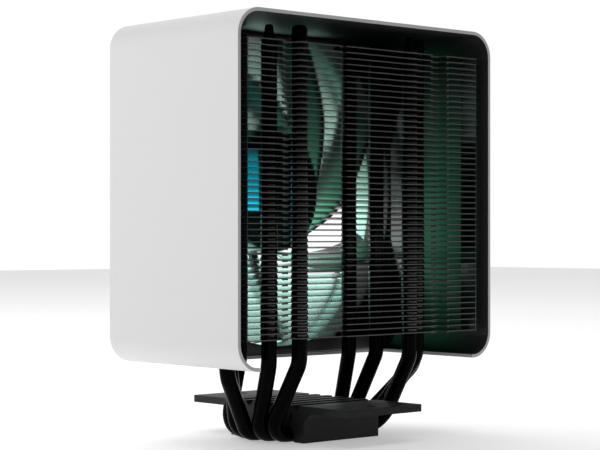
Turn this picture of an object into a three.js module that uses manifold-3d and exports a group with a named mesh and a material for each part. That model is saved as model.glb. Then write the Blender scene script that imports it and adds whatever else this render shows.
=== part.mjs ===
// CPU tower cooler: fin stack on five heat pipes, sheet-metal shroud, axial fan.
// Millimetres, +Z up. Origin: centre of the base's processor contact face.
// +X: across the cooler, along the pipes' run in the base. +Y: from the fin stack
// towards the fan.
import * as THREE from 'three';
import { mergeVertices } from 'three/addons/utils/BufferGeometryUtils.js';
import Module from 'manifold-3d';

const wasm = await Module();
wasm.setup();

// ---------------------------------------------------------------- dimensions
// shroud: rounded rectangular tube, open at both ends (along Y)
const SHROUD_W = 132.0;
const SHROUD_Z0 = 29.7;
const SHROUD_Z1 = 159.0;
const SHROUD_D = 76.0;
const SHROUD_R = 10.0;
const SHROUD_T = 1.3;
const CUT_HALF_W = 55.4;     // bottom cut-out, open at the rim by the fins
const CUT_Y1 = 14.2;
const AXIS_Z = (SHROUD_Z0 + SHROUD_Z1) / 2;   // fan axis height

// fin stack
const FIN_COUNT = 50;
const FINS_PER_PACK = 10;
const FIN_Z0 = 41.1;
const FIN_PITCH = 2.2;
const FIN_T = 0.4;
const FIN_HALF_W = 60.0;
const FIN_Y0 = -36.5;
const FIN_Y1 = 12.4;
const FIN_HOLE = 3.35;       // half side of the square pipe holes
const FLANGE_LEN = 8.5;      // folded side edge, at the open end of each side
const FLANGE_T = 0.5;
const NOTCH_X0 = 35.5;       // recess in the edge away from the fan
const NOTCH_X1 = 42.4;
const NOTCH_D = 3.2;

// heat pipes
const PIPE_R = 3.0;          // across corners of the eight-sided section
const PIPE_TOP = 155.5;
const BASE_PIPE_PITCH = 6.1;
const BASE_CORNER_X = 29.5;
const LOW_BEND_R = 9.0;
const HIGH_BEND_R = 10.0;
// leg position (x, y) in the fins and height of the knee, for each pipe
const PIPE_LEGS = [
  { x: 28.9, y: -29.1, knee: 31.0 },
  { x: 38.7, y: -23.3, knee: 30.5 },
  { x: 49.4, y: -12.0, knee: 26.5 },
  { x: 38.7, y: -0.7, knee: 30.5 },
  { x: 28.9, y: 5.1, knee: 31.0 },
];

// base
const BASE_HALF_X = 19.65;
const BASE_HALF_Y = 21.2;
const BASE_STEP_Z = 7.8;     // where the haunch under each wing starts
const WING_HALF_Y = 44.5;
const WING_Z0 = 11.2;
const WING_Z1 = 14.0;
const HAUNCH_Y = 24.9;
const CHANNEL_HALF_Y = 15.6;
const CHANNEL_Z = 6.0;
const WING_HOLE_Y = 37.5;
const WING_HOLE_R = 2.0;
const RIDGE_PITCH = 6.85;
const RIDGE_COUNT = 6;
const RIDGE_GROOVE_D = 1.6;
const RIDGE_GROOVE_W = 2.6;

// fan
const FAN_Y0 = 13.2;         // face of the frame next to the fins
const FAN_Y1 = 37.6;         // outer face of the frame, with the struts
const FRAME_GAP = 0.3;
const BORE_R = 60.0;
const BLADE_TIP_R = 58.6;
const BLADE_COUNT = 7;
// (radius, angle in degrees) along a blade's edge next to the fins
const BLADE_EDGE = [[22.0, -52], [24, -37], [26, -28.5], [31, -14.5], [36.3, -3], [42, 6.5], [48, 15], [53, 20.5], [58.6, 26]];
const HUB_R = 22.8;
const HUB_Y0 = 16.2;         // closed face of the hub, next to the fins
const HUB_Y1 = 33.4;
const SEAT_R = 20.5;
const SEAT_T = 2.4;
const STRUT_COUNT = 4;
const STRUT_W = 4.0;
const RING_SEAT_R = 62.4;
const RING_Y0 = 24.0;
const RING_Y1 = 34.6;
const SCREW_X = 58.8;
const SCREW_DZ = 57.4;

// ------------------------------------------------------------------- helpers
function edgeAngle(r) {
  const t = BLADE_EDGE;
  if (r <= t[0][0]) return t[0][1];
  for (let i = 1; i < t.length; i++) {
    if (r <= t[i][0]) return t[i - 1][1] + ((t[i][1] - t[i - 1][1]) * (r - t[i - 1][0])) / (t[i][0] - t[i - 1][0]);
  }
  return t[t.length - 1][1];
}
const V2 = (x, y) => new THREE.Vector2(x, y);
const V3 = (x, y, z) => new THREE.Vector3(x, y, z);

// closed, indexed, position-only copy of a geometry, facing out
function closed(geometry) {
  let g = geometry.clone();
  for (const name of Object.keys(g.attributes)) if (name !== 'position') g.deleteAttribute(name);
  g = mergeVertices(g, 1e-4);
  const p = g.attributes.position;
  const src = g.index.array;
  const tri = [];
  let six = 0;
  const a = V3(), b = V3(), c = V3();
  for (let i = 0; i < src.length; i += 3) {
    if (src[i] === src[i + 1] || src[i + 1] === src[i + 2] || src[i] === src[i + 2]) continue;
    tri.push(src[i], src[i + 1], src[i + 2]);
    a.fromBufferAttribute(p, src[i]);
    b.fromBufferAttribute(p, src[i + 1]);
    c.fromBufferAttribute(p, src[i + 2]);
    six += a.dot(b.clone().cross(c));
  }
  if (six < 0) for (let i = 0; i < tri.length; i += 3) [tri[i], tri[i + 1]] = [tri[i + 1], tri[i]];
  g.setIndex(tri);
  return g;
}
function solid(geometry) {
  const g = closed(geometry);
  return new wasm.Manifold(new wasm.Mesh({
    numProp: 3,
    vertProperties: new Float32Array(g.attributes.position.array),
    triVerts: new Uint32Array(g.index.array),
  }));
}
function geometryOf(manifold) {
  const m = manifold.getMesh();
  const g = new THREE.BufferGeometry();
  g.setAttribute('position', new THREE.BufferAttribute(new Float32Array(m.vertProperties), 3));
  g.setIndex(new THREE.BufferAttribute(new Uint32Array(m.triVerts), 1));
  return g;
}
function polygon(points) {
  return new THREE.Shape(points.map(([x, y]) => V2(x, y)));
}
function circlePoints(cx, cy, r, n, turn = 0) {
  const out = [];
  for (let i = 0; i < n; i++) {
    const a = turn + (2 * Math.PI * i) / n;
    out.push([cx + r * Math.cos(a), cy + r * Math.sin(a)]);
  }
  return out;
}
function roundedRect(x0, y0, x1, y1, r, n) {
  const out = [];
  const corners = [[x1 - r, y0 + r, -90], [x1 - r, y1 - r, 0], [x0 + r, y1 - r, 90], [x0 + r, y0 + r, 180]];
  for (const [cx, cy, start] of corners) {
    for (let i = 0; i <= n; i++) {
      const a = THREE.MathUtils.degToRad(start + (90 * i) / n);
      out.push([cx + r * Math.cos(a), cy + r * Math.sin(a)]);
    }
  }
  return out;
}
// outline drawn in (x, y), standing from z0 to z1
function extrudeZ(shape, z0, z1) {
  return new THREE.ExtrudeGeometry(shape, { depth: z1 - z0, bevelEnabled: false }).translate(0, 0, z0);
}
// outline drawn in (x, z), running from y0 to y1
function extrudeY(shape, y0, y1) {
  return new THREE.ExtrudeGeometry(shape, { depth: y1 - y0, bevelEnabled: false })
    .rotateX(Math.PI / 2).translate(0, y1, 0);
}
// outline drawn in (y, z), running from x0 to x1
function extrudeX(shape, x0, x1) {
  return new THREE.ExtrudeGeometry(shape, { depth: x1 - x0, bevelEnabled: false })
    .rotateZ(Math.PI / 2).rotateY(Math.PI / 2).translate(x0, 0, 0);
}
function box(x0, y0, z0, x1, y1, z1) {
  return new THREE.BoxGeometry(x1 - x0, y1 - y0, z1 - z0)
    .translate((x0 + x1) / 2, (y0 + y1) / 2, (z0 + z1) / 2);
}
// ring or disc about the fan's axis; profile of (radius, y) points
function turned(profile, n) {
  return new THREE.LatheGeometry(profile.map(([r, y]) => V2(r, y)), n).translate(0, 0, AXIS_Z);
}
function ring(r0, r1, y0, y1, n) {
  return turned([[r0, y0], [r1, y0], [r1, y1], [r0, y1], [r0, y0]], n);
}
function disc(r, y0, y1, n) {
  return turned([[0, y0], [r, y0], [r, y1], [0, y1]], n);
}

const cooler = new THREE.Group();
function add(name, geometry, material) {
  const mesh = new THREE.Mesh(closed(geometry), new THREE.MeshStandardMaterial(material));
  mesh.name = name;
  cooler.add(mesh);
  return mesh;
}

const BLACK_METAL = { color: 0x17181a, roughness: 0.32, metalness: 0.75 };
const DARK_NICKEL = { color: 0x333538, roughness: 0.38, metalness: 0.8 };
const FIN_BLACK = { color: 0x1c1e20, roughness: 0.45, metalness: 0.6 };
const WHITE_PAINT = { color: 0xe2e3e4, roughness: 0.5, metalness: 0.0 };
const BLACK_PLASTIC = { color: 0x101213, roughness: 0.55, metalness: 0.0 };
const STEEL = { color: 0x9a9da1, roughness: 0.3, metalness: 1.0 };
const COPPER = { color: 0xb5693b, roughness: 0.35, metalness: 1.0 };
const BRASS = { color: 0xb79a54, roughness: 0.35, metalness: 1.0 };
const BOARD = { color: 0x12301f, roughness: 0.6, metalness: 0.0 };
const RUBBER = { color: 0x1a1a1b, roughness: 0.9, metalness: 0.0 };
const MILKY = { color: 0xd8f5f0, roughness: 0.35, metalness: 0.0 };
const FERRITE = { color: 0x3c3d40, roughness: 0.7, metalness: 0.2 };

// ---------------------------------------------------------------- base block
{
  const half = [
    [CHANNEL_HALF_Y, 0], [BASE_HALF_Y, 0], [BASE_HALF_Y, BASE_STEP_Z],
    [HAUNCH_Y, WING_Z0], [WING_HALF_Y, WING_Z0], [WING_HALF_Y, WING_Z1],
  ];
  // grooves between the cooling ridges on top
  const top = [];
  for (let i = 0; i < RIDGE_COUNT; i++) {
    const y = (i - (RIDGE_COUNT - 1) / 2) * RIDGE_PITCH;
    const w = RIDGE_GROOVE_W / 2;
    top.push([y + w, WING_Z1], [y + w * 0.6, WING_Z1 - RIDGE_GROOVE_D],
      [y - w * 0.6, WING_Z1 - RIDGE_GROOVE_D], [y - w, WING_Z1]);
  }
  const topSorted = [];
  for (let i = RIDGE_COUNT - 1; i >= 0; i--) topSorted.push(...top.slice(4 * i, 4 * i + 4));
  const outline = [
    ...half,
    ...topSorted,
    ...half.slice().reverse().map(([y, z]) => [-y, z]),
    [-CHANNEL_HALF_Y, CHANNEL_Z], [CHANNEL_HALF_Y, CHANNEL_Z],
  ];
  let body = solid(extrudeX(polygon(outline), -BASE_HALF_X, BASE_HALF_X));
  for (const s of [-1, 1]) {
    body = body.subtract(solid(extrudeZ(
      polygon(circlePoints(0, s * WING_HOLE_Y, WING_HOLE_R, 16)), WING_Z0 - 1, WING_Z1 + 1)));
  }
  // small blind slots in the two side faces, above the first pipe
  for (const s of [-1, 1]) {
    body = body.subtract(solid(box(
      s > 0 ? BASE_HALF_X - 1.2 : -BASE_HALF_X - 1, -14.9, 8.4,
      s > 0 ? BASE_HALF_X + 1 : -BASE_HALF_X + 1.2, -13.1, 11.0)));
  }
  add('base_block', geometryOf(body), DARK_NICKEL);
}

// ---------------------------------------------------------------- heat pipes
// A pipe's centre line: straight runs joined by circular bends. Points are given
// out only where the line turns, and the section keeps one corner pair along Y.
class PipeRoute extends THREE.Curve {
  constructor(corners, radii, bendSteps) {
    super();
    this.points = [corners[0]];
    for (let i = 1; i < corners.length - 1; i++) {
      const p = corners[i];
      const u = corners[i - 1].clone().sub(p).normalize();
      const v = corners[i + 1].clone().sub(p).normalize();
      const half = u.angleTo(v) / 2;
      const r = radii[i - 1];
      const centre = p.clone().add(u.clone().add(v).normalize().multiplyScalar(r / Math.sin(half)));
      const start = p.clone().addScaledVector(u, r / Math.tan(half)).sub(centre);
      const end = p.clone().addScaledVector(v, r / Math.tan(half)).sub(centre);
      const sweep = start.angleTo(end);
      const axis = start.clone().cross(end).normalize();
      for (let k = 0; k <= bendSteps; k++) {
        this.points.push(start.clone().applyAxisAngle(axis, (sweep * k) / bendSteps).add(centre));
      }
    }
    this.points.push(corners[corners.length - 1]);
  }
  getPoint(t) {
    const i = Math.round(t * (this.points.length - 1));
    return this.points[i].clone();
  }
  getPointAt(t) { return this.getPoint(t); }
  getSpacedPoints(n) {
    const out = [];
    for (let i = 0; i <= n; i++) out.push(this.getPoint(i / n));
    return out;
  }
  computeFrenetFrames(n) {
    const tangents = [], normals = [], binormals = [];
    const last = this.points.length - 1;
    for (let i = 0; i <= n; i++) {
      const back = this.points[Math.max(i - 1, 0)];
      const here = this.points[i];
      const on = this.points[Math.min(i + 1, last)];
      const t = here.clone().sub(back).normalize().add(on.clone().sub(here).normalize()).normalize();
      const e1 = V3(0, 1, 0).addScaledVector(t, -t.y).normalize();
      tangents.push(t);
      normals.push(e1);
      binormals.push(t.clone().cross(e1));
    }
    return { tangents, normals, binormals };
  }
}
// flats of the section lie along Y and Z in the base, so its lowest flat is the contact face
const PIPE_FLAT = PIPE_R * Math.cos(Math.PI / 8);
PIPE_LEGS.forEach((leg, i) => {
  const y = (i - 2) * BASE_PIPE_PITCH;
  const z = PIPE_FLAT;
  const route = new PipeRoute([
    V3(-leg.x, leg.y, PIPE_TOP), V3(-leg.x, leg.y, leg.knee), V3(-BASE_CORNER_X, y, z),
    V3(BASE_CORNER_X, y, z), V3(leg.x, leg.y, leg.knee), V3(leg.x, leg.y, PIPE_TOP),
  ], [HIGH_BEND_R, LOW_BEND_R, LOW_BEND_R, HIGH_BEND_R], 3);
  const section = polygon(circlePoints(0, 0, PIPE_R, 8, Math.PI / 8));
  add(`heat_pipe_${i + 1}`, new THREE.ExtrudeGeometry(section, {
    steps: route.points.length - 1, extrudePath: route, bevelEnabled: false,
  }), BLACK_METAL);
});

// ----------------------------------------------------------------- fin packs
{
  const pitch = FIN_PITCH;
  const edge = [
    [-FIN_HALF_W, FIN_Y0],
    [-NOTCH_X1, FIN_Y0], [-NOTCH_X1 + 1.6, FIN_Y0 + NOTCH_D], [-NOTCH_X0 - 1.6, FIN_Y0 + NOTCH_D], [-NOTCH_X0, FIN_Y0],
    [NOTCH_X0, FIN_Y0], [NOTCH_X0 + 1.6, FIN_Y0 + NOTCH_D], [NOTCH_X1 - 1.6, FIN_Y0 + NOTCH_D], [NOTCH_X1, FIN_Y0],
    [FIN_HALF_W, FIN_Y0], [FIN_HALF_W, FIN_Y1], [-FIN_HALF_W, FIN_Y1],
  ];
  // one plate about z = 0 with its ten pipe holes
  let plate = solid(extrudeZ(polygon(edge), -FIN_T / 2, FIN_T / 2));
  for (const leg of PIPE_LEGS) {
    for (const s of [-1, 1]) {
      const h = FIN_HOLE;
      plate = plate.subtract(solid(box(s * leg.x - h, leg.y - h, -1, s * leg.x + h, leg.y + h, 1)));
    }
  }
  const plateGeometry = geometryOf(plate);
  const packs = FIN_COUNT / FINS_PER_PACK;
  for (let k = 0; k < packs; k++) {
    const z0 = FIN_Z0 + k * FINS_PER_PACK * pitch;
    const z1 = z0 + (FINS_PER_PACK - 1) * pitch;
    const pieces = [];
    for (let i = 0; i < FINS_PER_PACK; i++) {
      const z = z0 + i * pitch;
      pieces.push(solid(plateGeometry.clone().translate(0, 0, z)));
    }
    // folded edges: they reach from fin to fin
    for (const s of [-1, 1]) {
      const xa = s > 0 ? FIN_HALF_W - 0.1 - FLANGE_T : -FIN_HALF_W + 0.1;
      pieces.push(solid(box(xa, FIN_Y0 + 0.1, z0 - FIN_T / 4, xa + FLANGE_T, FIN_Y0 + FLANGE_LEN, z1 + FIN_T / 4)));
    }
    add(`fin_pack_${k + 1}`, geometryOf(wasm.Manifold.union(pieces)), FIN_BLACK);
  }
}

// -------------------------------------------------------------- shroud shell
{
  const hw = SHROUD_W / 2;
  const hd = SHROUD_D / 2;
  const shape = polygon(roundedRect(-hw, SHROUD_Z0, hw, SHROUD_Z1, SHROUD_R, 6));
  shape.holes.push(new THREE.Path(roundedRect(
    -hw + SHROUD_T, SHROUD_Z0 + SHROUD_T, hw - SHROUD_T, SHROUD_Z1 - SHROUD_T,
    SHROUD_R - SHROUD_T, 6).map(([x, y]) => V2(x, y))));
  let shell = solid(extrudeY(shape, -hd, hd));
  shell = shell.subtract(solid(box(-CUT_HALF_W, -hd - 5, SHROUD_Z0 - 5, CUT_HALF_W, CUT_Y1, SHROUD_Z0 + 4)));
  add('shroud_shell', geometryOf(shell), WHITE_PAINT);
}

// ----------------------------------------------------------------- fan frame
const screwPlaces = [[-1, -1], [1, -1], [1, 1], [-1, 1]].map(([a, b]) => [a * SCREW_X, AXIS_Z + b * SCREW_DZ]);
{
  const in_ = SHROUD_T + FRAME_GAP;
  const hw = SHROUD_W / 2 - in_;
  const shape = polygon(roundedRect(
    -hw, SHROUD_Z0 + in_, hw, SHROUD_Z1 - in_, SHROUD_R - in_, 5));
  shape.holes.push(new THREE.Path(circlePoints(0, AXIS_Z, BORE_R, 40).map(([x, y]) => V2(x, y))));
  for (const [x, z] of screwPlaces) {
    shape.holes.push(new THREE.Path(circlePoints(x, z, 1.9, 8).map(([a, b]) => V2(a, b))));
  }
  let frame = solid(extrudeY(shape, FAN_Y0, FAN_Y1));
  // seat of the light ring: a groove round the bore, which the soft ring snaps into
  frame = frame.subtract(solid(ring(BORE_R - 2, RING_SEAT_R, RING_Y0, RING_Y1, 40)));
  // corner seats: for the screw heads at the outer face, for the pads at the other
  for (const [x, z] of screwPlaces) {
    const sx = Math.sign(x), sz = Math.sign(z - AXIS_Z);
    frame = frame.subtract(solid(extrudeY(polygon(circlePoints(x, z, 3.6, 10)), FAN_Y1 - 2.4, FAN_Y1 + 1)));
    frame = frame.subtract(solid(extrudeY(
      polygon(circlePoints(x - sx * 0.2, z - sz * 0.2, 4.0, 8, Math.PI / 8)), FAN_Y0 - 1, FAN_Y0 + 1.0)));
  }
  // motor seat, bearing post and struts, all at the outer face
  const extra = [solid(disc(SEAT_R, FAN_Y1 - SEAT_T, FAN_Y1, 24))];
  for (let i = 0; i < STRUT_COUNT; i++) {
    const a = (i * 2 * Math.PI) / STRUT_COUNT - 1.4;
    const lean = 0.2;
    const p0 = V2(Math.cos(a) * (SEAT_R - 3), Math.sin(a) * (SEAT_R - 3));
    const p1 = V2(Math.cos(a + lean) * (BORE_R + 1), Math.sin(a + lean) * (BORE_R + 1));
    const n = V2(-(p1.y - p0.y), p1.x - p0.x).normalize().multiplyScalar(STRUT_W / 2);
    const bar = polygon([
      [p0.x + n.x, AXIS_Z + p0.y + n.y], [p0.x - n.x, AXIS_Z + p0.y - n.y],
      [p1.x - n.x, AXIS_Z + p1.y - n.y], [p1.x + n.x, AXIS_Z + p1.y + n.y],
    ]);
    extra.push(solid(extrudeY(bar, FAN_Y1 - SEAT_T, FAN_Y1)));
  }
  extra.push(solid(ring(3.6, 4.9, 21.8, FAN_Y1 - 0.6, 16)));
  frame = wasm.Manifold.union([frame, ...extra]);
  // shallow hollow of the seat for the shaft's clip
  frame = frame.subtract(solid(disc(3.6, 20.8, FAN_Y1 - 1.2, 16)));
  add('fan_frame', geometryOf(frame), BLACK_PLASTIC);
}
add('light_ring', ring(60.25, 61.95, 26.3, 34.2, 40), MILKY);
add('led_board', ring(60.25, 61.95, 24.35, 25.9, 40), BOARD);
screwPlaces.forEach(([x, z], i) => {
  // pan head in its seat at the outer face, shank through the frame's corner
  const g = new THREE.LatheGeometry([
    V2(0, -20), V2(1.4, -20), V2(1.5, 0), V2(3.1, 0.0), V2(3.1, 0.9), V2(2.0, 1.7), V2(0, 1.9),
  ].map((p) => V2(p.x, p.y)), 8);
  g.translate(x, FAN_Y1 - 2.1, z);
  add(`fan_screw_${i + 1}`, g, STEEL);
});

// --------------------------------------------------------------------- motor
const sleeveY0 = 22.2;
const sleeveY1 = 33.6;
add('bearing_sleeve', ring(1.66, 3.2, sleeveY0, sleeveY1, 12), BRASS);
{
  // iron core: ring round the bearing post with four T-shaped poles
  const post = solid(ring(5.25, 8.0, 23.6, 30.6, 16));
  const poles = [post];
  for (let i = 0; i < 4; i++) {
    const a = (i * Math.PI) / 2;
    const leg = solid(box(7, 23.6, -1.6, 13.2, 30.6, 1.6).rotateY(-a).translate(0, 0, AXIS_Z));
    const shoe = solid(box(12.6, 23.6, -5.0, 14.2, 30.6, 5.0).rotateY(-a).translate(0, 0, AXIS_Z));
    poles.push(leg, shoe);
  }
  add('stator_core', geometryOf(wasm.Manifold.union(poles)), STEEL);
  for (let i = 0; i < 4; i++) {
    const a = (i * Math.PI) / 2;
    const outer = solid(box(8.6, 22.3, -3.3, 12.2, 31.9, 3.3).rotateY(-a).translate(0, 0, AXIS_Z));
    const inner = solid(box(8.0, 23.3, -1.9, 13.0, 30.9, 1.9).rotateY(-a).translate(0, 0, AXIS_Z));
    add(`stator_coil_${i + 1}`, geometryOf(outer.subtract(inner)), COPPER);
  }
}
add('motor_board', ring(5.3, 15.5, 33.2, 34.4, 24), BOARD);

// --------------------------------------------------------------------- rotor
{
  // hub: cup closed next to the fins and open towards the motor seat
  const hub = solid(turned([
    [0, HUB_Y0 + 1.8], [19.6, HUB_Y0 + 1.8], [19.6, HUB_Y1], [HUB_R, HUB_Y1],
    [HUB_R, HUB_Y0 + 1.6], [HUB_R - 1.6, HUB_Y0], [0, HUB_Y0],
  ], 32));
  // blades: each station from hub to tip is an arc-shaped section, pitched and swept
  const stations = 6;
  const chordSteps = 3;
  const blades = [hub];
  for (let b = 0; b < BLADE_COUNT; b++) {
    const pos = [];
    const base = (b * 2 * Math.PI) / BLADE_COUNT;
    for (let s = 0; s <= stations; s++) {
      const f = s / stations;
      const r = HUB_R - 0.8 + (BLADE_TIP_R - HUB_R + 0.8) * f;
      const edge = (edgeAngle(r) * Math.PI) / 180;
      const span = 0.40 - 0.44 * f + 0.22 * f * f;        // angle covered by the chord
      const y0 = Math.max(17.6 - 8 * f, 14.5);
      const y1 = 30.4 - 1.4 * f;
      const thick = 1.5 - 0.5 * f;
      for (let c = 0; c <= chordSteps; c++) {
        const g = c / chordSteps;
        const a = base + edge + span * g;
        const camber = 2.2 * Math.sin(Math.PI * g) * (1 - 0.3 * f);
        const y = y0 + (y1 - y0) * g - camber * 0.6;
        for (const side of [-1, 1]) {
          const t = (side * thick) / 2;
          pos.push([r * Math.cos(a), y + t * 0.85, AXIS_Z + r * Math.sin(a)]);
        }
      }
    }
    const row = (chordSteps + 1) * 2;
    const id = (s, c, side) => s * row + c * 2 + side;
    const tri = [];
    const quad = (a, b2, c, d) => tri.push(a, b2, c, a, c, d);
    for (let s = 0; s < stations; s++) {
      for (let c = 0; c < chordSteps; c++) {
        quad(id(s, c, 0), id(s + 1, c, 0), id(s + 1, c + 1, 0), id(s, c + 1, 0));
        quad(id(s, c, 1), id(s, c + 1, 1), id(s + 1, c + 1, 1), id(s + 1, c, 1));
      }
      quad(id(s, 0, 0), id(s, 0, 1), id(s + 1, 0, 1), id(s + 1, 0, 0));
      quad(id(s, chordSteps, 0), id(s + 1, chordSteps, 0), id(s + 1, chordSteps, 1), id(s, chordSteps, 1));
    }
    for (let c = 0; c < chordSteps; c++) {
      quad(id(0, c, 0), id(0, c + 1, 0), id(0, c + 1, 1), id(0, c, 1));
      quad(id(stations, c, 0), id(stations, c, 1), id(stations, c + 1, 1), id(stations, c + 1, 0));
    }
    const g = new THREE.BufferGeometry();
    g.setAttribute('position', new THREE.BufferAttribute(new Float32Array(pos.flat()), 3));
    g.setIndex(tri);
    blades.push(solid(g));
  }
  let wheel = wasm.Manifold.union(blades);
  // keep the inside of the hub clear, and the recess for the cap
  wheel = wheel.subtract(solid(disc(19.6, HUB_Y0 + 1.8, HUB_Y1 + 2, 32)));
  wheel = wheel.subtract(solid(disc(14.3, HUB_Y0 - 2, HUB_Y0 + 0.9, 24)));
  add('impeller', geometryOf(wheel), BLACK_PLASTIC);
}
add('rotor_yoke', turned([
  [2.0, 18.4], [19.2, 18.4], [19.2, 32.8], [18.3, 32.8], [18.3, 19.3], [2.0, 19.3], [2.0, 18.4],
], 24), STEEL);
add('magnet_ring', ring(15.8, 17.6, 21.2, 31.4, 24), FERRITE);
add('shaft', disc(1.5, 18.6, 35.5, 12), STEEL);
add('lock_clip', ring(1.8, 3.1, 34.1, 34.6, 12), BLACK_PLASTIC);
add('hub_cap', disc(13.7, HUB_Y0 - 0.5, HUB_Y0 + 0.55, 24), STEEL);

// --------------------------------------------------------------- corner pads
screwPlaces.forEach(([x, z], i) => {
  // rubber pad in its seat at the frame's face next to the fins, with a hole for the screw
  const sx = Math.sign(x);
  const sz = Math.sign(z - AXIS_Z);
  const shape = polygon(circlePoints(x - sx * 0.2, z - sz * 0.2, 3.6, 8, Math.PI / 8));
  shape.holes.push(new THREE.Path(circlePoints(x, z, 2.2, 8).map(([a, b]) => V2(a, b))));
  add(`corner_pad_${i + 1}`, extrudeY(shape, FAN_Y0 - 0.4, FAN_Y0 + 0.7), RUBBER);
});

export default cooler;
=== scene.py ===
# CPU tower cooler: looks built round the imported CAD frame.
# Row frame, metres: +X across, +Y towards the fan's intake side, +Z up.
import math
import random

import bmesh
import bpy
from mathutils import Matrix, Vector


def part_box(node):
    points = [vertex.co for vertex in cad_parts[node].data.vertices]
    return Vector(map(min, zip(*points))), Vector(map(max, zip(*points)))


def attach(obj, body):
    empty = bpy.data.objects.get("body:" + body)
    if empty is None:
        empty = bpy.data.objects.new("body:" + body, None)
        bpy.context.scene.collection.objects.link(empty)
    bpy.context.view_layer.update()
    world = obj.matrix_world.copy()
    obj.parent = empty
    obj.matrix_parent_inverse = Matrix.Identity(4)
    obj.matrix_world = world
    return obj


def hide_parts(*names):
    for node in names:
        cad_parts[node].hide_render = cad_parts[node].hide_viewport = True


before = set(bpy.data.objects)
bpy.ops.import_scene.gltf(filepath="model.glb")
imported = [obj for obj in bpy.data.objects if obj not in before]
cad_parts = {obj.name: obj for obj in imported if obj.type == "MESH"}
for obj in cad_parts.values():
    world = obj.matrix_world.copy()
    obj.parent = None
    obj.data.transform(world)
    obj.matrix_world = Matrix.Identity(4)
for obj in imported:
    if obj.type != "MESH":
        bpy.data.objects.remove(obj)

random.seed(4)
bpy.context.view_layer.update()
scene = bpy.context.scene
MM = 0.001

# ------------------------------------------------------------------ sizes, mm
SH_LO, SH_HI = (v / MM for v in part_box("shroud_shell"))
AZ = (SH_LO.z + SH_HI.z) / 2            # fan axis height
FR_LO, FR_HI = (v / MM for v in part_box("fan_frame"))
FIN_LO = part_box("fin_pack_1")[0] / MM
FIN_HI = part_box("fin_pack_5")[1] / MM
BASE_LO, BASE_HI = (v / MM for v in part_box("base_block"))
WALL = 1.3
SH_R = 10.0
CUT_X, CUT_Y = 55.4, 14.2
FIN_N = 50
FIN_PITCH = 2.2
FIN_T = 0.4
FIN_Z0 = 40.35                           # underside of the lowest fin's sheet
LEGS = [(28.9, -29.1, 31.0), (38.7, -23.3, 30.5), (49.4, -12.0, 26.5), (38.7, -0.7, 30.5), (28.9, 5.1, 31.0)]
PIPE_TOP = 155.5
PIPE_R = 2.95
PIPE_PITCH = 6.1
BASE_CORNER_X = 29.5
BORE_R = 60.0
FY0, FY1 = FR_LO.y, FR_HI.y              # exhaust and intake faces of the frame


# ------------------------------------------------------------------- helpers
def obj_from(name, verts, faces, mats, smooth=38.0, scale=MM):
    """A mesh object from points in millimetres."""
    me = bpy.data.meshes.new(name)
    me.from_pydata([(x * scale, y * scale, z * scale) for x, y, z in verts], [], faces)
    me.validate()
    for m in mats:
        me.materials.append(m)
    o = bpy.data.objects.new(name, me)
    scene.collection.objects.link(o)
    bm = bmesh.new()
    bm.from_mesh(me)
    bmesh.ops.recalc_face_normals(bm, faces=bm.faces)
    bm.to_mesh(me)
    bm.free()
    shade(o, smooth)
    return o


def shade(o, angle=38.0):
    me = o.data
    me.polygons.foreach_set("use_smooth", [True] * len(me.polygons))
    me.set_sharp_from_angle(angle=math.radians(angle))
    me.update()


def apply_mods(o):
    """Bakes an object's modifiers into its mesh."""
    dg = bpy.context.evaluated_depsgraph_get()
    ev = o.evaluated_get(dg)
    me = bpy.data.meshes.new_from_object(ev, preserve_all_data_layers=True, depsgraph=dg)
    old = o.data
    o.modifiers.clear()
    o.data = me
    bpy.data.meshes.remove(old)


def flat_normals(o, angle=50.0):
    """Keeps wide faces flat-shaded up to their bevels."""
    shade(o, angle)
    m = o.modifiers.new("normals", "WEIGHTED_NORMAL")
    m.mode = "FACE_AREA"
    m.weight = 70
    m.keep_sharp = True
    apply_mods(o)


def cut(o, cutters, solver="EXACT"):
    for c in cutters:
        m = o.modifiers.new("cut", "BOOLEAN")
        m.operation = "DIFFERENCE"
        m.object = c
        m.solver = solver
    apply_mods(o)
    for c in cutters:
        me = c.data
        bpy.data.objects.remove(c)
        bpy.data.meshes.remove(me)


def bevel(o, width, segments=2, angle=40.0, apply=True):
    m = o.modifiers.new("bevel", "BEVEL")
    m.width = width * MM
    m.segments = segments
    m.limit_method = "ANGLE"
    m.angle_limit = math.radians(angle)
    m.harden_normals = False
    m.miter_outer = "MITER_ARC"
    if apply:
        apply_mods(o)
        flat_normals(o)


def turned(name, profile, mats, seg=96, centre=(0, AZ), axis="Y", closed=True, smooth=38.0, at=(0, 0, 0), arc=None):
    """Lathe about Y (or Z) of (radius, along) points, closed into a ring or capped on the axis."""
    n = len(profile)
    verts, faces = [], []
    full = arc is None
    a0, a1 = (0, 2 * math.pi) if full else arc
    steps = seg if full else seg + 1
    rows = []
    for k in range(steps):
        a = a0 + (a1 - a0) * k / seg
        c, s = math.cos(a), math.sin(a)
        row = []
        for r, h in profile:
            if axis == "Y":
                p = (at[0] + r * c + centre[0], at[1] + h, at[2] + r * s + centre[1])
            else:
                p = (at[0] + r * c, at[1] + r * s, at[2] + h)
            row.append(len(verts))
            verts.append(p)
        rows.append(row)
    last = n if closed else n - 1
    for k in range(steps if full else steps - 1):
        ra, rb = rows[k], rows[(k + 1) % steps]
        for i in range(last):
            j = (i + 1) % n
            faces.append((ra[i], ra[j], rb[j], rb[i]))
    if not full:
        faces.append(tuple(rows[0]))
        faces.append(tuple(reversed(rows[-1])))
    me_name = name
    o = obj_from(me_name, verts, faces, mats, smooth)
    bm = bmesh.new()
    bm.from_mesh(o.data)
    bmesh.ops.remove_doubles(bm, verts=bm.verts, dist=1e-6)
    bmesh.ops.dissolve_degenerate(bm, edges=bm.edges, dist=1e-7)
    bmesh.ops.recalc_face_normals(bm, faces=bm.faces)
    bm.to_mesh(o.data)
    bm.free()
    shade(o, smooth)
    return o


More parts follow.
